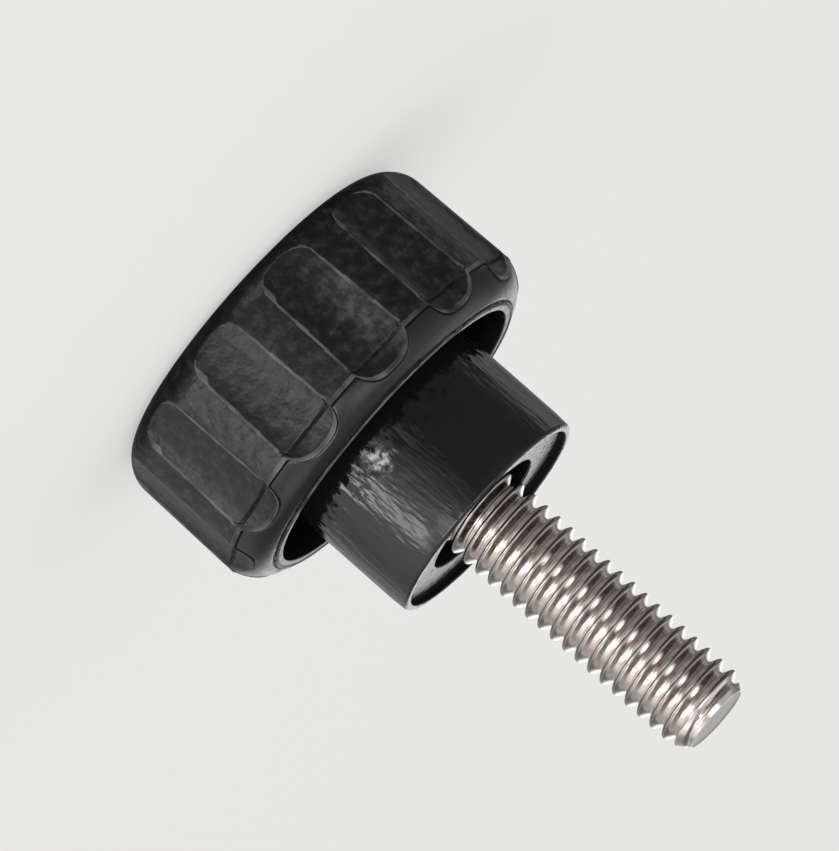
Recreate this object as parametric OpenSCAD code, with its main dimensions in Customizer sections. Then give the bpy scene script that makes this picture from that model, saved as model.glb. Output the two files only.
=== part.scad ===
// Thumb screw: a fluted moulded head with a long round collar, moulded onto a hexagon-headed steel stud.
// It stands on the flat top of its head. The origin is the centre of that face, and +Z runs along the stud.

/* [Head] */
// Diameter of the head across the lands, at its flat top
head_top_d = 24.6; // [21.5:0.1:28.5]
// Diameter of the head across the lands, at the rim beside the collar
head_rim_d = 25.1; // [21.5:0.1:28.5]
// Height of the head, from its flat top to its rim
head_h = 11.3; // [9:0.1:17]
// Radius of the rounded edge at the flat top
top_edge_r = 2.25; // [0.7:0.05:2.4]
// Radius of the rounded edge at the rim
rim_edge_r = 2.55; // [1.4:0.05:2.6]
// Wall of the head between its outside and the hollow behind the rim
head_wall = 2.7; // [2.65:0.05:3.5]
// Depth of the hollow around the collar, from the rim
hollow_depth = 7.3; // [2:0.1:7.3]

/* [Flutes] */
// Number of flutes around the head
flutes = 12; // [8:1:14]
// Share of each flute's pitch that is hollow, the rest being the land
flute_share = 0.69; // [0.5:0.01:0.8]
// Depth of a flute along the grip
flute_depth = 0.55; // [0.35:0.05:0.65]
// Depth of the pocket at a flute's rim end
pocket_depth = 0.75; // [0.7:0.05:1.1]
// Height of the pocket's inner end below the rim
pocket_h = 2.15; // [1.4:0.05:2.8]

/* [Collar] */
// Diameter of the collar
collar_d = 14.8; // [13.5:0.05:15.6]
// How far the collar stands out of the head's rim
collar_h = 7.6; // [4.3:0.05:14.2]
// Radius of the collar's outer edge
collar_edge_r = 0.25; // [0.1:0.05:0.35]
// Width of the raised lip around the collar's end face
lip_w = 0.55; // [0.4:0.05:0.85]
// Height of the lip above the end face inside it
lip_h = 0.45; // [0.2:0.05:0.7]
// Diameter of the counterbore around the stud
counterbore_d = 8.45; // [7:0.05:10]
// Depth of the counterbore below the end face
counterbore_depth = 2.15; // [0.75:0.05:3.5]

/* [Stud] */
// Outer diameter of the thread (M6, just under its nominal size)
thread_d = 5.85; // [5:0.05:6.4]
// Pitch of the thread
thread_pitch = 1.0; // [0.8:0.05:1.5]
// Diameter of the plain shank that the plastic holds
shank_d = 5.3; // [4.5:0.1:5.3]
// How far the stud stands out past the collar's lip
stud_out = 18.3; // [7:0.1:28]
// Diameter of the flat at the stud's free end
stud_tip_d = 4.5; // [3.5:0.1:4.8]
// Length of the chamfer at the stud's free end
stud_chamfer = 0.9; // [0.4:0.1:1.4]
// Width of the moulded-in hexagon head across its flats
hex_flats = 10.0; // [8:0.1:10.5]
// Height of the moulded-in hexagon head
hex_h = 4.0; // [2:0.1:4.3]
// Plastic between the head's flat top and the hexagon head
hex_cover = 3.2; // [2.2:0.1:5.5]

/* [Hidden] */
$fn = 96;
// Straight lengths that make up each rounded edge's quarter turn
arc_steps = 8;
// How far a cutting shape runs past the surface that it cuts
over = 1.5;
head_top_r = head_top_d / 2;
head_rim_r = head_rim_d / 2;
head_draft = atan((head_rim_r - head_top_r) / head_h);
collar_r = collar_d / 2;
collar_top = head_h + collar_h;
end_face = collar_top - lip_h;
thread_start = end_face - counterbore_depth;
stud_top = collar_top + stud_out;
thread_end = stud_top - stud_chamfer;
// The shank is drawn from the middle of the hexagon head, so that the two overlap
shank_foot = hex_cover + hex_h / 2;
hollow_r = head_rim_r - head_wall;
hollow_floor = head_h - hollow_depth;
pocket_start = head_h - pocket_h;
flute_half_angle = 180 / flutes * flute_share;
// Section of one turn of the thread: its depth, its flat crest and the length that each flank takes
thread_depth = 0.6 * thread_pitch;
thread_crest = thread_pitch / 8;
thread_flank = thread_depth * tan(30);
thread_turns = floor((thread_end - thread_start) / thread_pitch);
stud_fn = 40;

// Distance from the axis to the centre of a round cutter. It leaves a groove of the given depth in a circle
// of radius r, with the groove's edges half_angle to each side of its middle.
function cutter_x(r, depth, half_angle) =
    (pow(r, 2) - pow(r - depth, 2)) / (2 * (r * cos(half_angle) - r + depth));

// Points along an arc, counter-clockwise from angle a0 to a1
function arc(centre, r, a0, a1) = [
    for (i = [0 : arc_steps])
        let (a = a0 + (a1 - a0) * i / arc_steps)
            centre + r * [cos(a), sin(a)]
];

// Half section of the drafted head, rounded at both ends. Each arc is tangent to its flat and to the side.
module head_section() {
    turn_out = 1 / cos(head_draft);
    top_x = head_top_r - top_edge_r * (1 - sin(head_draft)) * turn_out;
    rim_x = head_rim_r - rim_edge_r * (1 + sin(head_draft)) * turn_out;
    polygon(concat(
        [[0, 0]],
        arc([top_x, top_edge_r], top_edge_r, -90, -head_draft),
        arc([rim_x, head_h - rim_edge_r], rim_edge_r, -head_draft, 90),
        [[0, head_h]]
    ));
}

// Half section of the collar from the hollow's floor to its lip, with its rounded outer edge
module collar_section() {
    edge = collar_edge_r;
    polygon(concat(
        [[0, hollow_floor - over], [collar_r, hollow_floor - over]],
        arc([collar_r - edge, collar_top - edge], edge, 0, 90),
        [[0, collar_top]]
    ));
}

// One straight groove of a flute, between two heights
module groove(depth, z_low, z_high) {
    x = cutter_x(head_rim_r, depth, flute_half_angle);
    translate([x, 0, z_low]) cylinder(r = x - head_rim_r + depth, h = z_high - z_low);
}

// All flutes: a shallow groove through the whole head, with a deeper pocket let into it at the rim
module flute_ring() {
    for (i = [0 : flutes - 1]) rotate((i + 0.5) * 360 / flutes) {
        groove(flute_depth, -over, head_h + over);
        groove(pocket_depth, pocket_start, head_h + over);
    }
}

// The hexagon head that keeps the stud from turning in the plastic
module hexagon_head() {
    translate([0, 0, hex_cover]) cylinder(d = hex_flats / cos(30), h = hex_h, $fn = 6);
}

// Half section of the plain shank and the threaded end. The thread's turns are closed rings, with no lead.
module stud_section() {
    shank_r = shank_d / 2;
    crest_r = thread_d / 2;
    root_r = crest_r - thread_depth;
    polygon(concat(
        [[0, shank_foot], [shank_r, shank_foot], [shank_r, thread_start], [crest_r, thread_start]],
        [for (i = [0 : thread_turns - 1])
            let (low = thread_start + i * thread_pitch + thread_crest / 2,
                 high = low + thread_pitch - thread_crest)
                each [[crest_r, low], [root_r, low + thread_flank],
                      [root_r, high - thread_flank], [crest_r, high]]],
        [[crest_r, thread_end], [stud_tip_d / 2, stud_top], [0, stud_top]]
    ));
}

// The moulded piece: head, rim and collar, with the hollow behind the rim and the seat of the stud
module grip_knob() {
    color([0.09, 0.085, 0.1]) difference() {
        union() {
            difference() {
                rotate_extrude() head_section();
                flute_ring();
                translate([0, 0, hollow_floor]) cylinder(r = hollow_r, h = hollow_depth + over);
            }
            rotate_extrude() collar_section();
        }
        translate([0, 0, end_face]) cylinder(r = collar_r - lip_w, h = lip_h + over);
        translate([0, 0, thread_start]) cylinder(d = counterbore_d, h = counterbore_depth + over);
        hexagon_head();
        translate([0, 0, shank_foot])
            cylinder(d = shank_d, h = thread_start - shank_foot + over, $fn = stud_fn);
    }
}

// The stud: hexagon head, plain shank and threaded end with its chamfer
module threaded_stud() {
    color([0.72, 0.68, 0.65]) union() {
        hexagon_head();
        rotate_extrude($fn = stud_fn) stud_section();
    }
}

grip_knob();
threaded_stud();
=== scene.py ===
"""Thumb screw: a threaded steel stud, the black knob moulded onto it, and the table, lights and camera.

Lengths are in metres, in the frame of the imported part. The screw stands on the flat top of its head, with the
origin at the centre of that face and +Z along the stud.
"""

import math

import bmesh
import bpy
import numpy as np
from mathutils import Matrix, Vector


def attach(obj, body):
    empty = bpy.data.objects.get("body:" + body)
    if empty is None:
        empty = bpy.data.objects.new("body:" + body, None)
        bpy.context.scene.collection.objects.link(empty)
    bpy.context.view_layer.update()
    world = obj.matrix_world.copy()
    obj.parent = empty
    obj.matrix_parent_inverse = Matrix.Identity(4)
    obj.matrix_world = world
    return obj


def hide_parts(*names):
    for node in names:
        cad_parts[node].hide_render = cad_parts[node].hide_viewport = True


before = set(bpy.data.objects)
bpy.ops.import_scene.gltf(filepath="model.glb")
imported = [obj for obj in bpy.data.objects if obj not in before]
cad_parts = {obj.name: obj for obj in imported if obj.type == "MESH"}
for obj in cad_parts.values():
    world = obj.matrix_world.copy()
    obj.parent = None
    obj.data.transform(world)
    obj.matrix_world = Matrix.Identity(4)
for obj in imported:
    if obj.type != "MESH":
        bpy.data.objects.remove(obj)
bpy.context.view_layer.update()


# ---- Threaded stud ---------------------------------------------------------------------------------------
# A stainless steel M6 screw, held in the plastic by its hexagon head. Its thread of 1 mm pitch is rolled, with
# painted shade on the crests, and its free end is turned to a short cone with a sawn face.

mm = 0.001
hex_foot = 3.2 * mm
hex_top = 7.2 * mm
hex_apothem = 5.0 * mm
shank_r = 2.65 * mm
stud_top = 37.2 * mm
stud_tip_r = 2.25 * mm
stud_cone = 0.9 * mm
cone_soft = 0.015 * mm
saw_drop = 0.015 * mm
thread_start = 16.3 * mm
thread_r = 2.925 * mm
thread_pitch = 1.0 * mm
thread_depth = 0.62 * thread_pitch
crest_soft = 0.045 * mm
root_soft = 0.05 * mm
# Where the thread stands in its turn, as a share of the pitch
thread_phase = 0.815

# Points closer than the first are welded, and faces that meet at more than the second keep a sharp edge
weld_gap = 3e-7
sharp_angle = math.radians(38)


def smooth_least(a, b, soft):
    """The lesser of a and b with the corner between them rounded: minus soft times the logarithm of
    exp(-a / soft) + exp(-b / soft)."""
    return -soft * np.logaddexp(-a / soft, -b / soft)


def hexagon_r(angle, apothem):
    """Distance from the axis to a hexagon's side: the apothem over the cosine of the angle from the middle of
    that side, the first of which lies at 30 degrees."""
    return apothem / np.cos(np.mod(angle, math.pi / 3) - math.pi / 6)


def thread_outline(turn):
    """Radius of the thread at share turn of its pitch, where 0 and 1 are roots and 0.5 is the crest: a V of
    60 degrees with a flat crest at the thread's radius and a flat root at its depth, all corners rounded."""
    sharp = thread_pitch * math.sqrt(3) / 2
    crest_cut = sharp / 5.5
    flank = thread_r + crest_cut - sharp * np.abs(turn - 0.5) * 2
    root = thread_r - thread_depth
    capped = smooth_least(flank, thread_r, crest_soft)
    return -smooth_least(-capped, -root, root_soft)


def turned_mesh(name, radius, angle, height, slot_of_face):
    """A piece from grids of radius, angle and height, one row for each point of the outline and one column
    for each angle: x is the radius times the cosine of the angle, y the radius times its sine, and z the
    height. The first and last columns lie on each other and are welded, as are the points on the axis."""
    rows, columns = radius.shape
    points = np.stack([radius * np.cos(angle), radius * np.sin(angle), height], axis=-1).reshape(-1, 3)
    row, column = np.meshgrid(np.arange(rows - 1), np.arange(columns - 1), indexing="ij")
    first = row * columns + column
    faces = np.stack([first, first + 1, first + columns + 1, first + columns], axis=-1).reshape(-1, 4)
    mesh = bpy.data.meshes.new(name)
    mesh.vertices.add(len(points))
    mesh.vertices.foreach_set("co", points.astype(np.float32).ravel())
    mesh.loops.add(faces.size)
    mesh.loops.foreach_set("vertex_index", faces.astype(np.int32).ravel())
    mesh.polygons.add(len(faces))
    mesh.polygons.foreach_set("loop_start", np.arange(0, faces.size, 4, dtype=np.int32))
    mesh.polygons.foreach_set("material_index", slot_of_face.astype(np.int32).ravel())
    mesh.update(calc_edges=True)
    welded = bmesh.new()
    welded.from_mesh(mesh)
    bmesh.ops.remove_doubles(welded, verts=welded.verts, dist=weld_gap)
    bmesh.ops.recalc_face_normals(welded, faces=welded.faces)
    welded.to_mesh(mesh)
    welded.free()
    mesh.polygons.foreach_set("use_smooth", np.ones(len(mesh.polygons), dtype=bool))
    mesh.set_sharp_from_angle(angle=sharp_angle)
    mesh.update()
    piece = bpy.data.objects.new(name, mesh)
    bpy.context.scene.collection.objects.link(piece)
    return piece


# The thread's rows follow its turns: each column starts a little higher than the one before. The rows lie
# closest together at the crest, in the middle of the turn.
stud_columns = 145
stud_angle = np.linspace(0, 2 * math.pi, stud_columns)[None, :]
thread_shares = np.array([0, 0.05, 0.10, 0.14, 0.19, 0.25, 0.32, 0.39, 0.43, 0.46, 0.5,
                          0.54, 0.57, 0.61, 0.68, 0.75, 0.81, 0.86, 0.90, 0.95])
first_turn = math.floor(thread_start / thread_pitch) - 2
last_turn = math.ceil(stud_top / thread_pitch) + 1
turns = (np.arange(first_turn, last_turn)[:, None] + thread_shares[None, :]).reshape(-1, 1)
lead = stud_angle / (2 * math.pi) + thread_phase
thread_z = np.clip((turns + lead) * thread_pitch, thread_start, stud_top)
full_thread = thread_outline(np.mod(thread_z / thread_pitch - lead, 1))
cone_r = stud_tip_r + (stud_top - thread_z) * (thread_r - stud_tip_r) / stud_cone
thread_x = smooth_least(full_thread, cone_r, cone_soft)

# The hexagon head and the shank come before the thread's rows, and the sawn face after them
ring = np.ones_like(stud_angle)
hexagon = hexagon_r(stud_angle, hex_apothem)
hidden_r = np.vstack([0 * ring, hexagon, hexagon, shank_r * ring, shank_r * ring])
hidden_z = np.array([hex_foot, hex_foot, hex_top, hex_top, thread_start])[:, None] * ring
end_r = thread_x[-1:] * np.array([0.985, 0.97, 0.6, 0.3, 0])[:, None]
end_z = (stud_top - saw_drop * np.array([0, 1, 1, 1, 1]))[:, None] * ring
stud_r = np.vstack([hidden_r, thread_x, end_r])
stud_z = np.vstack([hidden_z, thread_z, end_z])
on_end = np.arange(len(stud_r) - 1) >= len(hidden_r) + len(thread_x)
stud = turned_mesh("threaded_stud_steel", stud_r, stud_angle, stud_z,
                   np.repeat(on_end[:, None], stud_columns - 1, axis=1))


def new_finish(name):
    """A material with nothing added to it yet: the material, its node tree, its shader and the place on the
    object."""
    finish = bpy.data.materials.new(name)
    finish.use_nodes = True
    tree = finish.node_tree
    return finish, tree, tree.nodes["Principled BSDF"], tree.nodes.new("ShaderNodeTexCoord").outputs["Object"]


def stretched(tree, place, scale):
    """The place with each of its coordinates multiplied by that of scale."""
    mapping = tree.nodes.new("ShaderNodeMapping")
    mapping.inputs["Scale"].default_value = scale
    tree.links.new(place, mapping.inputs["Vector"])
    return mapping.outputs["Vector"]


def noise(tree, place, size, detail, rough=0.5, scale=(1, 1, 1)):
    """Noise from 0 to 1, in lumps of about the given size in metres divided by scale."""
    texture = tree.nodes.new("ShaderNodeTexNoise")
    texture.inputs["Scale"].default_value = 1 / size
    texture.inputs["Detail"].default_value = detail
    texture.inputs["Roughness"].default_value = rough
    tree.links.new(stretched(tree, place, scale), texture.inputs["Vector"])
    return texture.outputs["Fac"]


def ramp(tree, value, stops):
    """A colour ramp from value: stops are pairs of a place from 0 to 1 and a colour or grey."""
    made = tree.nodes.new("ShaderNodeValToRGB")
    tree.links.new(value, made.inputs["Fac"])
    while len(made.color_ramp.elements) < len(stops):
        made.color_ramp.elements.new(0.5)
    for element, (place, colour) in zip(made.color_ramp.elements, stops):
        element.position = place
        element.color = (*colour, 1) if isinstance(colour, tuple) else (colour, colour, colour, 1)
    return made.outputs["Color"]


def distance_from(tree, place, point):
    """Distance of the place from a point."""
    measured = tree.nodes.new("ShaderNodeVectorMath")
    measured.operation = "DISTANCE"
    measured.inputs[1].default_value = point
    tree.links.new(place, measured.inputs[0])
    return measured.outputs["Value"]


def passing(tree, value, start, end, at_start=0.0, at_end=1.0):
    """A number that goes evenly from at_start to at_end while the value goes from start to end, and stays the
    same on either side: at_start plus the share of the way gone times at_end less at_start."""
    mapped = tree.nodes.new("ShaderNodeMapRange")
    mapped.inputs["From Min"].default_value = start
    mapped.inputs["From Max"].default_value = end
    mapped.inputs["To Min"].default_value = at_start
    mapped.inputs["To Max"].default_value = at_end
    tree.links.new(value, mapped.inputs["Value"])
    return mapped.outputs["Result"]


def combined(tree, operation, first, second):
    """Two colours added or multiplied, channel by channel; operation is ADD or MULTIPLY."""
    made = tree.nodes.new("ShaderNodeVectorMath")
    made.operation = operation
    tree.links.new(first, made.inputs[0])
    tree.links.new(second, made.inputs[1])
    return made.outputs["Vector"]


def relief(tree, height, distance, strength, over=None):
    """The slope of a surface raised by height times distance. It is shown by a share, strength, that is a
    number or another node's output, and lies over another relief if one is given."""
    bump = tree.nodes.new("ShaderNodeBump")
    bump.inputs["Distance"].default_value = distance
    if isinstance(strength, float):
        bump.inputs["Strength"].default_value = strength
    else:
        tree.links.new(strength, bump.inputs["Strength"])
    tree.links.new(height, bump.inputs["Height"])
    if over is not None:
        tree.links.new(over, bump.inputs["Normal"])
    return bump.outputs["Normal"]


rolled_steel, tree, shader, place = new_finish("rolled_steel")
shader.inputs["Metallic"].default_value = 1.0
cast = noise(tree, place, 1.1 * mm, 3)
tint = ramp(tree, cast, [(0.3, (0.68, 0.62, 0.585)), (0.7, (0.85, 0.79, 0.755))])

# Painted shade on the crests, for the dark bands that reflection lays along the thread: the tint falls off
# furthest from the axis
from_axis = distance_from(tree, stretched(tree, place, (1, 1, 0)), (0, 0, 0))
crest_shade = passing(tree, from_axis, thread_r - 0.06 * mm, thread_r - 0.02 * mm, 1.0, 0.42)
tree.links.new(combined(tree, "MULTIPLY", tint, crest_shade), shader.inputs["Base Color"])
rub = noise(tree, place, 0.35 * mm, 4)
tree.links.new(ramp(tree, rub, [(0.3, 0.14), (0.7, 0.27)]), shader.inputs["Roughness"])
grain = noise(tree, place, 0.12 * mm, 2)
tree.links.new(relief(tree, grain, 0.01 * mm, 0.2), shader.inputs["Normal"])
stud.data.materials.append(rolled_steel)

# The free end's sawn face is rougher and darker
sawn_steel, tree, shader, place = new_finish("sawn_steel")
shader.inputs["Metallic"].default_value = 1.0
shader.inputs["Base Color"].default_value = (0.34, 0.325, 0.315, 1)
shader.inputs["Roughness"].default_value = 0.45
stud.data.materials.append(sawn_steel)

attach(stud, "root")
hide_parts("threaded_stud")


# ---- Moulded knob ----------------------------------------------------------------------------------------
# One piece of hard black plastic moulded round the stud: a head with twelve flutes, a smooth rim with a
# hollow behind it, and a long glossy collar. The grip is spark-textured up to the mould's parting seam. The
# seam, the flutes' edges and the lip of the hollow's mouth carry a pale painted highlight, the grooves and
# recesses painted shade, and the collar's foot a painted glint.

head_top_r = 12.3 * mm
head_rim_r = 12.55 * mm
head_h = 11.3 * mm
top_edge_r = 2.25 * mm
rim_edge_r = 2.55 * mm
hollow_r = 9.85 * mm
hollow_floor = 4.0 * mm
hollow_corner_r = 0.6 * mm
mouth_r = 0.08 * mm
flutes = 12
flute_half = math.radians(10.35)
flute_depth = 0.60 * mm
flute_flatness = 0.3
pocket_depth = 0.78 * mm
pocket_start = 9.15 * mm
parting_z = 9.34 * mm
edge_soft = 0.035 * mm
collar_r = 7.4 * mm
collar_top = 18.9 * mm
collar_taper = 0.05 * mm
collar_edge_r = 0.25 * mm
lip_r = 6.85 * mm
lip_edge_r = 0.08 * mm
end_face = 18.45 * mm
counterbore_r = 4.225 * mm
counterbore_edge_r = 0.12 * mm

head_draft = math.atan((head_rim_r - head_top_r) / head_h)
top_arc_x = head_top_r - top_edge_r * (1 - math.sin(head_draft)) / math.cos(head_draft)
top_tangent_z = top_edge_r * (1 - math.sin(head_draft))
rim_arc_x = head_rim_r - rim_edge_r * (1 + math.sin(head_draft)) / math.cos(head_draft)
rim_arc_z = head_h - rim_edge_r


def head_outline(z):
    """Radius of the head across its lands at height z: a quarter circle up from the flat top, a drafted side
    and a quarter circle in to the rim."""
    top = top_arc_x + np.sqrt(np.maximum(top_edge_r**2 - (top_edge_r - z) ** 2, 0))
    rim = rim_arc_x + np.sqrt(np.maximum(rim_edge_r**2 - (z - rim_arc_z) ** 2, 0))
    side = head_top_r + (head_rim_r - head_top_r) * z / head_h
    high = z > rim_arc_z - rim_edge_r * math.sin(head_draft)
    return np.where(z < top_tangent_z, top, np.where(high, rim, side))


def groove_wall(off, depth):
    """Radius of a straight round groove at angle off from its middle: where a ray from the axis first meets
    the cutter, a circle that passes depth inside the rim's radius and crosses it at the flute's edges. The
    angle is first drawn in by its share of the flute to the power flute_flatness, for a flatter floor between
    steep edges. Beside the groove the radius lies well outside the head."""
    off = off * np.minimum(np.abs(off) / flute_half, 1) ** flute_flatness
    past_edge = head_rim_r * math.cos(flute_half) - head_rim_r + depth
    centre = (head_rim_r**2 - (head_rim_r - depth) ** 2) / (2 * past_edge)
    cutter = centre - head_rim_r + depth
    inside = cutter**2 - (centre * np.sin(off)) ** 2
    wall = centre * np.cos(off) - np.sqrt(np.maximum(inside, 0))
    return np.where(inside > 0, wall, head_rim_r + 3 * mm)


def along(shares, low, high):
    """Rows between two heights, which may differ from column to column: low plus the share times high less
    low."""
    return low + np.asarray(shares)[:, None] * (high - low)


def arc_height(wall, arc_x, arc_r):
    """How far from the level of an arc's centre a wall of this radius meets the arc: the square root of the
    arc's radius squared less the wall's distance from the centre squared."""
    reach = np.clip((wall - arc_x) / arc_r, 0, 1)
    return arc_r * np.sqrt(1 - reach**2)


def hump(off, width):
    """A smooth hump, 1 in its middle: the exponential of minus the square of off over width."""
    return np.exp(-((off / width) ** 2))


# Columns: close together at each flute's two edges and further apart across its floor and over the lands.
# These are degrees from the flute's middle.
floor_end, edge_end, land_middle = 8.9, 11.5, 15
half_pitch = np.concatenate([np.linspace(0, floor_end, 8), np.linspace(floor_end, edge_end, 11)[1:],
                             np.linspace(edge_end, land_middle, 4)[1:]])
one_flute = np.radians(np.concatenate([-half_pitch[::-1], half_pitch[1:-1]]))
middles = (np.arange(flutes) + 0.5) * 2 * math.pi / flutes
knob_angle = np.append((middles[:, None] + one_flute[None, :]).ravel(), 2 * math.pi)[None, :]
off = np.append(np.tile(one_flute, flutes), -math.pi / flutes)[None, :]
shallow = groove_wall(off, flute_depth)
deep = groove_wall(off, pocket_depth)

# Lines that the rows follow: where each flute starts on the rounded top edge, the step down into its pocket,
# and the parting seam, which runs level along the lands' ends and bows toward the rim round each pocket
level = np.ones_like(knob_angle)
seam_soft = 0.045 * mm
pocket_to_seam = 0.64 * mm
side_shallow = smooth_least(head_outline(top_tangent_z * level), shallow, edge_soft)
side_deep = smooth_least(head_outline(rim_arc_z * level), deep, edge_soft)
flute_start = top_edge_r - arc_height(side_shallow, top_arc_x, top_edge_r)
pocket_end = rim_arc_z + arc_height(side_deep, rim_arc_x, rim_edge_r)
seam_line = -smooth_least(-pocket_end, -parting_z * level, seam_soft)
step_line = np.minimum(pocket_start, seam_line - pocket_to_seam)

# Grip: from the flat top over the rounded edge, along the flutes, down the pocket's step and up to the seam.
# The step has a crease along its middle, in full where the flute is deeper than crease_full.
start_rows = np.array([-0.07, -0.035, -0.014, 0, 0.014, 0.035, 0.07]) * mm
below_start, above_start = 0.08 * mm, 0.085 * mm
step_half = 0.20 * mm
below_step = 0.03 * mm
below_seam = 0.42 * mm
step_length = 0.22 * mm
crease_depth, crease_width = 0.15 * mm, 0.09 * mm
crease_full = 0.3 * mm
wall_limit = head_rim_r + 1 * mm
turn = np.arccos(1 - (flute_start - below_start) / top_edge_r)
grip_z = np.vstack([
    top_edge_r * (1 - np.cos(along(np.linspace(0, 1, 16), 0, turn))),
    flute_start + start_rows[:, None],
    along(np.linspace(0, 1, 9)[1:], flute_start + above_start, step_line - step_half - below_step),
    along(np.linspace(0, 1, 17), step_line - step_half, step_line + step_half),
    along(np.linspace(0, 1, 7)[1:-1], step_line + step_half, seam_line - below_seam)])
gone = np.clip((grip_z - step_line) / step_length + 0.5, 0, 1)
drop = gone * gone * (3 - 2 * gone)
grip_wall = shallow + (np.minimum(deep, wall_limit) - np.minimum(shallow, wall_limit)) * drop
in_flute = np.clip((head_rim_r - shallow) / crease_full, 0, 1)
grip_wall = grip_wall - crease_depth * in_flute * hump(grip_z - step_line, crease_width)
grip_r = smooth_least(head_outline(grip_z), np.where(drop > 0.999, deep, grip_wall), edge_soft)

# Parting seam: a raised bead along the line, with a long slope on the grip's side and a groove on the rim's
seam_steps = np.array([-0.40, -0.33, -0.26, -0.20, -0.15, -0.10, -0.06, -0.02,
                       0.02, 0.05, 0.08, 0.12, 0.16]) * mm
bead_height = 0.075 * mm
bead_width = np.where(seam_steps < 0, 0.19 * mm, 0.055 * mm)
groove_depth, groove_width, groove_from_bead = 0.05 * mm, 0.035 * mm, 0.11 * mm
bead = (bead_height * hump(seam_steps, bead_width)
        - groove_depth * hump(seam_steps - groove_from_bead, groove_width))[:, None]
seam_rows = seam_line + seam_steps[:, None]
seam_turn = np.arcsin(np.clip((seam_line - rim_arc_z) / rim_edge_r, 0, 1))
seam_r = smooth_least(head_outline(seam_rows), deep, edge_soft) + bead * np.cos(seam_turn)
seam_z = seam_rows + bead * np.sin(seam_turn)

# Rim: satin from the seam over the rounded edge to the hollow's mouth. A raised lip runs around the mouth,
# with a groove outside it.
rim_from_seam = 0.19 * mm
mouth_lip_turn = math.radians(81)
mouth_lip_height, mouth_lip_width = 0.09 * mm, 0.09 * mm
lip_groove_depth, lip_groove_width, lip_groove_from_lip = 0.05 * mm, 0.09 * mm, 0.26 * mm
rim_shares = np.concatenate([np.linspace(0, 0.72, 13), np.linspace(0.72, 1, 19)[1:]])
rim_start = np.arcsin(np.clip((seam_line + rim_from_seam - rim_arc_z) / rim_edge_r, 0, 1))
rim_turn = along(rim_shares, rim_start, math.pi / 2 * level)
from_mouth_lip = (rim_turn - mouth_lip_turn) * rim_edge_r
rim_reach = (rim_edge_r + mouth_lip_height * hump(from_mouth_lip, mouth_lip_width)
             - lip_groove_depth * hump(from_mouth_lip + lip_groove_from_lip, lip_groove_width))
rim_r = smooth_least(rim_arc_x + rim_reach * np.cos(rim_turn), deep, edge_soft)
rim_z = rim_arc_z + rim_reach * np.sin(rim_turn)


def rounded_corner(x, z, corner_r, start, end, count=6):
    """Points of a corner's arc about (x, z), from the start angle to the end angle in degrees: the centre
    plus the radius times the angle's cosine and sine."""
    turn = np.radians(np.linspace(start, end, count))
    return np.stack([x + corner_r * np.cos(turn), z + corner_r * np.sin(turn)], axis=-1)


# From the hollow's mouth down its wall, across its floor, up the collar and in over its end to the
# counterbore and the stud's seat. Points in between only keep a long band's faces short. Each point has the
# finish of the band that follows it, and the finishes are numbered in the order of the materials below.
grip_finish, rim_finish, collar_finish, shaded_finish, highlight_finish = range(5)
lip_outside = rounded_corner(lip_r + lip_edge_r, collar_top - lip_edge_r, lip_edge_r, 90, 180, 4)
lip_inside = rounded_corner(lip_r - lip_edge_r, end_face + lip_edge_r, lip_edge_r, 0, -90, 4)
inner_outline = [
    (rim_finish, rounded_corner(hollow_r + mouth_r, head_h - mouth_r, mouth_r, 90, 180)),
    (rim_finish, [[hollow_r, 9 * mm], [hollow_r, 6.5 * mm]]),
    (rim_finish, rounded_corner(hollow_r - hollow_corner_r, hollow_floor + hollow_corner_r, hollow_corner_r,
                                0, -90)),
    (rim_finish, [[8.6 * mm, hollow_floor]]),
    (rim_finish, rounded_corner(collar_r + hollow_corner_r, hollow_floor + hollow_corner_r, hollow_corner_r,
                                -90, -180)),
    (collar_finish, [[collar_r, height * mm] for height in (4.7, 8.5, 11, 13, 15, 17.7)]),
    (collar_finish, [[collar_r - 0.01 * mm, 17.9 * mm]]),
    (collar_finish, rounded_corner(collar_r - collar_taper - collar_edge_r, collar_top - collar_edge_r,
                                   collar_edge_r, 5, 90, 8)),
    (collar_finish, lip_outside[:3]),
    # Painted shade on the lip's inner side, and below in the counterbore and round the stud's seat
    (shaded_finish, lip_outside[3:]),
    (shaded_finish, lip_inside[:3]),
    (collar_finish, [[lip_r - lip_edge_r, end_face], [5.6 * mm, end_face]]),
    (collar_finish, rounded_corner(counterbore_r + counterbore_edge_r, end_face - counterbore_edge_r,
                                   counterbore_edge_r, 90, 180)[:-1]),
    (shaded_finish, [[counterbore_r, end_face - counterbore_edge_r], [counterbore_r, 17.4 * mm],
                     [counterbore_r, thread_start], [shank_r, thread_start], [shank_r, hex_top]]),
]
inner_points = np.vstack([points for _, points in inner_outline])
inner_finish = np.concatenate([np.full(len(points), finish) for finish, points in inner_outline])
seat = hexagon_r(knob_angle, hex_apothem)
seat_r = np.vstack([seat, seat, 0 * level])
seat_z = np.array([hex_top, hex_foot, hex_foot])[:, None] * level
face_r = np.array([0, 3.5, 7, 10])[:, None] * mm * level

knob_r = np.vstack([face_r, grip_r, seam_r, rim_r, inner_points[:, :1] * level, seat_r])
knob_z = np.vstack([0 * face_r, grip_z, seam_z, rim_z, inner_points[:, 1:] * level, seat_z])

# How many of the seam's bands belong to the grip, carry the painted highlight, and lie in the groove with its
# painted shade. The rest are the rim's.
seam_grip, seam_highlighted, seam_groove = 2, 6, 3
seam_rim = len(seam_r) - seam_grip - seam_highlighted - seam_groove
finish_of_band = np.concatenate([
    np.full(len(face_r) + len(grip_r) + seam_grip, grip_finish), np.full(seam_highlighted, highlight_finish),
    np.full(seam_groove, shaded_finish), np.full(seam_rim + len(rim_r), rim_finish),
    inner_finish, np.full(len(seat_r) - 1, shaded_finish)])
slot_of_face = np.repeat(finish_of_band[:, None], knob_r.shape[1] - 1, axis=1)
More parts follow.
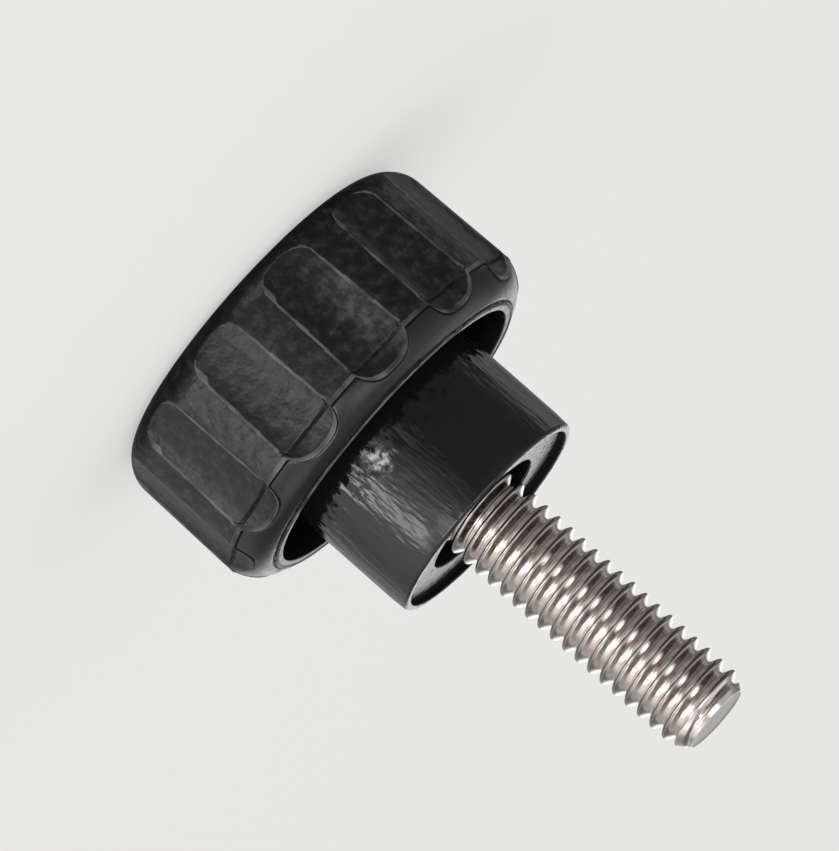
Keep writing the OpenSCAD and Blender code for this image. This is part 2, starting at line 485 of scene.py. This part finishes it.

# The flutes' long edges carry the painted highlight too, in a line about a tenth of a millimetre wide, and so
# does the mouth's lip. The groove outside the lip has painted shade.
edge_line = 0.12 * mm
edge_line_from = 1.2 * mm
lip_line = 0.12 * mm
shade_line, shade_from_lip = 0.07 * mm, 0.22 * mm
edge_gap = np.abs(head_outline(grip_z) - grip_wall)
on_edge = (edge_gap[:-1, :-1] + edge_gap[1:, 1:] < edge_line) & (grip_z[:-1, :-1] > edge_line_from)
slot_of_face[len(face_r):len(face_r) + len(grip_z) - 1][on_edge] = highlight_finish
rim_faces = slot_of_face[len(face_r) + len(grip_r) + len(seam_r):][:len(rim_r) - 1]
face_from_lip = (from_mouth_lip[:-1, :-1] + from_mouth_lip[1:, :-1]) / 2
rim_faces[np.abs(face_from_lip) < lip_line] = highlight_finish
rim_faces[np.abs(face_from_lip + shade_from_lip) < shade_line] = shaded_finish
knob = turned_mesh("grip_knob_moulding", knob_r, knob_angle, knob_z, slot_of_face)

black = (0.009, 0.0083, 0.0094)


def total(tree, first, second):
    """The sum of two numbers."""
    added = tree.nodes.new("ShaderNodeMath")
    tree.links.new(first, added.inputs[0])
    tree.links.new(second, added.inputs[1])
    return added.outputs["Value"]


# Grip: the mould's spark-eroded texture, as blunt pits of about half a millimetre. One flute has a painted
# highlight, a paler patch, longer along the screw than across it.
spark_textured, tree, shader, place = new_finish("spark_textured_plastic")
shader.inputs["Roughness"].default_value = 0.4
shader.inputs["Specular IOR Level"].default_value = 0.44
highlight_stretch = (1, 1, 0.3)
highlight_middle = (11.4 * mm, -4.2 * mm, 1.9 * mm)
from_highlight = distance_from(tree, stretched(tree, place, highlight_stretch), highlight_middle)
painted_highlight = passing(tree, from_highlight, 0.4 * mm, 1.5 * mm, 0.24, 0.0)
speckle_and_highlight = total(tree, noise(tree, place, 0.75 * mm, 3, 0.65), painted_highlight)
tree.links.new(ramp(tree, speckle_and_highlight, [(0.36, (0.0045, 0.004, 0.005)), (0.52, (0.010, 0.0092, 0.0106)),
                                     (0.68, (0.030, 0.028, 0.032)), (0.9, (0.10, 0.095, 0.10))]),
               shader.inputs["Base Color"])
pits = noise(tree, place, 0.8 * mm, 2.5)
tree.links.new(relief(tree, pits, 0.11 * mm, 1.0), shader.inputs["Normal"])
knob.data.materials.append(spark_textured)

# Rim and hollow: plain satin
satin, tree, shader, place = new_finish("satin_plastic")
shader.inputs["Base Color"].default_value = (*black, 1)
haze = noise(tree, place, 0.6 * mm, 3, 0.6)
tree.links.new(ramp(tree, haze, [(0.35, 0.26), (0.7, 0.36)]), shader.inputs["Roughness"])
knob.data.materials.append(satin)

# Collar: glossier, with shallow waves that run along it, deepest near its foot, and a painted highlight there,
# in pale blotches
glossy, tree, shader, place = new_finish("glossy_plastic")
glint_middle = (7.2 * mm, 1.7 * mm, 12.8 * mm)
painted_glint = passing(tree, distance_from(tree, place, glint_middle), 0.5 * mm, 1.8 * mm, 0.16, -0.4)
glint_blotches = total(tree, noise(tree, place, 0.4 * mm, 2, 0.6), painted_glint)
tree.links.new(ramp(tree, glint_blotches, [(0.48, black), (0.62, (0.15, 0.148, 0.155)), (0.74, (0.6, 0.6, 0.6))]),
               shader.inputs["Base Color"])
split_place = tree.nodes.new("ShaderNodeSeparateXYZ")
tree.links.new(place, split_place.inputs["Vector"])
height = split_place.outputs["Z"]
from_foot = passing(tree, height, 11.5 * mm, 14.5 * mm)
tree.links.new(ramp(tree, from_foot, [(0.0, 0.12), (0.6, 0.12), (1.0, 0.2)]), shader.inputs["Roughness"])
wave_strength = passing(tree, height, 12.0 * mm, 14.5 * mm, 0.65, 0.5)
waves = relief(tree, noise(tree, place, 0.42 * mm, 2, 0.55, (1, 1, 0.22)), 0.12 * mm, wave_strength)
dent_strength = ramp(tree, from_foot, [(0.0, 0.0), (0.2, 1.0), (0.6, 1.0), (1.0, 0.15)])
dents = relief(tree, noise(tree, place, 0.8 * mm, 0.8, 0.5, (1, 1, 0.7)), 0.16 * mm, dent_strength, waves)
tree.links.new(dents, shader.inputs["Normal"])
knob.data.materials.append(glossy)

# Inner side of the collar's lip, grooves, counterbore and seat: darker and duller, as painted shade
painted_shade, tree, shader, place = new_finish("shade_painted_plastic")
shader.inputs["Base Color"].default_value = (0.004, 0.004, 0.004, 1)
shader.inputs["Roughness"].default_value = 0.6
shader.inputs["Specular IOR Level"].default_value = 0.15
knob.data.materials.append(painted_shade)

# Parting seam, flutes' edges and mouth's lip: a painted highlight, paler and rougher
edge_highlight, tree, shader, place = new_finish("edge_highlight_plastic")
highlight_breaks = noise(tree, place, 1.5 * mm, 2)
tree.links.new(ramp(tree, highlight_breaks, [(0.35, (0.024, 0.023, 0.025)), (0.65, (0.135, 0.13, 0.137))]),
               shader.inputs["Base Color"])
shader.inputs["Roughness"].default_value = 0.5
knob.data.materials.append(edge_highlight)

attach(knob, "root")
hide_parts("grip_knob")


# ---- Table, lights and camera ----------------------------------------------------------------------------
# A pale table that the screw stands on, in a soft even light with one broad lamp in front of it. Gloss and
# metal mirror a darker studio with a few small lamps.

table_half = 3
table_colour = (0.845, 0.84, 0.83, 1)
# How much of what the camera sees of the table is its own plain colour, and not its shading
plain_share = 0.6
table_mesh = bpy.data.meshes.new("table")
table_mesh.from_pydata([(-table_half, -table_half, 0), (table_half, -table_half, 0),
                        (table_half, table_half, 0), (-table_half, table_half, 0)], [], [(0, 1, 2, 3)])
table = bpy.data.objects.new("table", table_mesh)
bpy.context.scene.collection.objects.link(table)
table_top, tree, shader, place = new_finish("pale_table")
shader.inputs["Base Color"].default_value = table_colour
shader.inputs["Roughness"].default_value = 0.9
shader.inputs["Specular IOR Level"].default_value = 0.0
backdrop = tree.nodes.new("ShaderNodeEmission")
backdrop.inputs["Color"].default_value = table_colour
seen = tree.nodes.new("ShaderNodeMath")
seen.operation = "MULTIPLY"
seen.inputs[1].default_value = plain_share
tree.links.new(tree.nodes.new("ShaderNodeLightPath").outputs["Is Camera Ray"], seen.inputs[0])
blend = tree.nodes.new("ShaderNodeMixShader")
tree.links.new(seen.outputs["Value"], blend.inputs["Fac"])
tree.links.new(shader.outputs["BSDF"], blend.inputs[1])
tree.links.new(backdrop.outputs["Emission"], blend.inputs[2])
tree.links.new(blend.outputs["Shader"], tree.nodes["Material Output"].inputs["Surface"])
table.data.materials.append(table_top)
table.visible_glossy = False


def direction(azimuth, elevation):
    """The direction at an azimuth about +Z, 0 at +X and 90 at +Y, and an elevation above the table, in
    degrees: x is the azimuth's cosine times the elevation's, y the azimuth's sine times the elevation's
    cosine, and z the elevation's sine."""
    a, e = math.radians(azimuth), math.radians(elevation)
    return Vector((math.cos(a) * math.cos(e), math.sin(a) * math.cos(e), math.sin(e)))


# The broad lamp's power is its brightness, as radiance, times its area times pi
lamp_side = direction(55, 42)
lamp_distance = 0.8
lamp_width, lamp_height = 0.5, 0.4
lamp_brightness = 1.6
lamp_aim = Vector((0, 0, 17 * mm))
broad_light = bpy.data.lights.new("broad_lamp", "AREA")
broad_light.shape = "RECTANGLE"
broad_light.size, broad_light.size_y = lamp_width, lamp_height
broad_light.energy = lamp_brightness * lamp_width * lamp_height * math.pi
broad_lamp = bpy.data.objects.new("broad_lamp", broad_light)
broad_lamp.location = lamp_aim + lamp_side * lamp_distance
broad_lamp.rotation_mode = "QUATERNION"
broad_lamp.rotation_quaternion = lamp_side.to_track_quat("Z", "Y")
broad_lamp.visible_glossy = False
bpy.context.scene.collection.objects.link(broad_lamp)

world = bpy.data.worlds.new("studio")
world.use_nodes = True
world.cycles.sampling_method = "NONE"
tree = world.node_tree
toward = tree.nodes.new("ShaderNodeTexCoord").outputs["Generated"]


def facing(azimuth, elevation, stops):
    """A grey that depends on how far the direction looked in lies from the one given: the ramp's places are
    half the cosine of that angle plus a half."""
    dot = tree.nodes.new("ShaderNodeVectorMath")
    dot.operation = "DOT_PRODUCT"
    dot.inputs[1].default_value = direction(azimuth, elevation)
    tree.links.new(toward, dot.inputs[0])
    half = tree.nodes.new("ShaderNodeMath")
    half.operation = "MULTIPLY_ADD"
    half.inputs[1].default_value = 0.5
    half.inputs[2].default_value = 0.5
    tree.links.new(dot.outputs["Value"], half.inputs[0])
    return ramp(tree, half.outputs["Value"], stops)


# The studio that gloss mirrors: walls that are brightest at azimuth 120 and darker round one corner, a wide
# soft panel with a bright middle low in front, and a dark floor
walls = facing(120, 0, [(0.0, 0.17), (0.5, 0.20), (0.85, 0.5), (1.0, 0.58)])
dark_corner = facing(154, 44, [(0.91, 1.0), (0.97, 0.3)])
front_panel = facing(50, -8, [(0.765, 0.0), (0.78, 0.22), (0.854, 0.42), (0.93, 0.75), (0.985, 1.0)])
panel_middle = facing(54, -10, [(0.9935, 0.0), (0.9985, 7.0)])
dark_floor = facing(0, 90, [(0.24, 0.12), (0.38, 1.0)])
mirrored = combined(tree, "MULTIPLY", walls, dark_corner)
mirrored = combined(tree, "ADD", mirrored, front_panel)
mirrored = combined(tree, "ADD", mirrored, panel_middle)
mirrored = combined(tree, "MULTIPLY", mirrored, dark_floor)

# Round lamps: azimuth, elevation, the ramp's places at the lamp's rim and where it is full, and brightness
round_lamps = [
    (30, 3, 0.992, 0.998, 3.0),
    (28, 26, 0.982, 0.994, 7.0),
    (72, 60, 0.96, 0.985, 0.6),
    (104, 52, 0.97, 0.985, 0.4),
    (-5, 44, 0.97, 0.99, 0.7),
    (-50, 48, 0.8, 0.93, 0.24),
    (-25, 62, 0.975, 0.99, 1.5),
    (-134, 60, 0.9, 0.97, 0.3),
    (-160, 49, 0.97, 0.99, 0.45),
    (180, 9, 0.972, 0.99, 1.2),
    (-129, -8, 0.984, 0.996, 0.42),
    (-20, -50, 0.98, 0.992, 3.5),
]
for azimuth, elevation, rim, full, brightness in round_lamps:
    round_lamp = facing(azimuth, elevation, [(rim, 0.0), (full, brightness)])
    mirrored = combined(tree, "ADD", mirrored, round_lamp)

# Everything else is lit by an even grey
choice = tree.nodes.new("ShaderNodeMix")
choice.data_type = "RGBA"
tree.links.new(tree.nodes.new("ShaderNodeLightPath").outputs["Is Glossy Ray"], choice.inputs["Factor"])
choice.inputs["A"].default_value = (0.80, 0.80, 0.80, 1)
tree.links.new(mirrored, choice.inputs["B"])
tree.links.new(choice.outputs["Result"], tree.nodes["Background"].inputs["Color"])
bpy.context.scene.world = world

# The camera sees the stud run down to the right by stud_fall, with its free end nearer by stud_nearer. The
# frame is view_w by view_h pixels, with the collar's end at (aim_x, aim_y). The camera stands camera_far
# pixels from there, and one pixel is pixel wide at that distance.
stud_fall = math.radians(41.4)
stud_nearer = math.radians(9.9)
pixel = 0.0597 * mm
view_w, view_h = 839, 851
aim_x, aim_y = 490, 520
camera_far = 16000
sensor = 36
fall_c, fall_s = math.cos(stud_fall), math.sin(stud_fall)
near_c, near_s = math.cos(stud_nearer), math.sin(stud_nearer)
right = Vector((-near_s * fall_c, -fall_s, near_c * fall_c))
up = Vector((near_s * fall_s, -fall_c, -near_c * fall_s))
back = Vector((near_c, 0, near_s))
aim = Vector((0, 0, 19.0 * mm))
camera_data = bpy.data.cameras.new("camera")
camera_data.sensor_fit = "HORIZONTAL"
camera_data.sensor_width = sensor
camera_data.lens = camera_far / view_w * sensor
camera_data.clip_start, camera_data.clip_end = 0.05, 50
camera = bpy.data.objects.new("camera", camera_data)
camera_at = (aim - right * (aim_x - view_w / 2) * pixel + up * (aim_y - view_h / 2) * pixel
             + back * camera_far * pixel)
turned = Matrix((right, up, back)).transposed().to_4x4()
camera.matrix_world = Matrix.Translation(camera_at) @ turned
bpy.context.scene.collection.objects.link(camera)
bpy.context.scene.camera = camera
bpy.context.scene.view_settings.view_transform = "Standard"
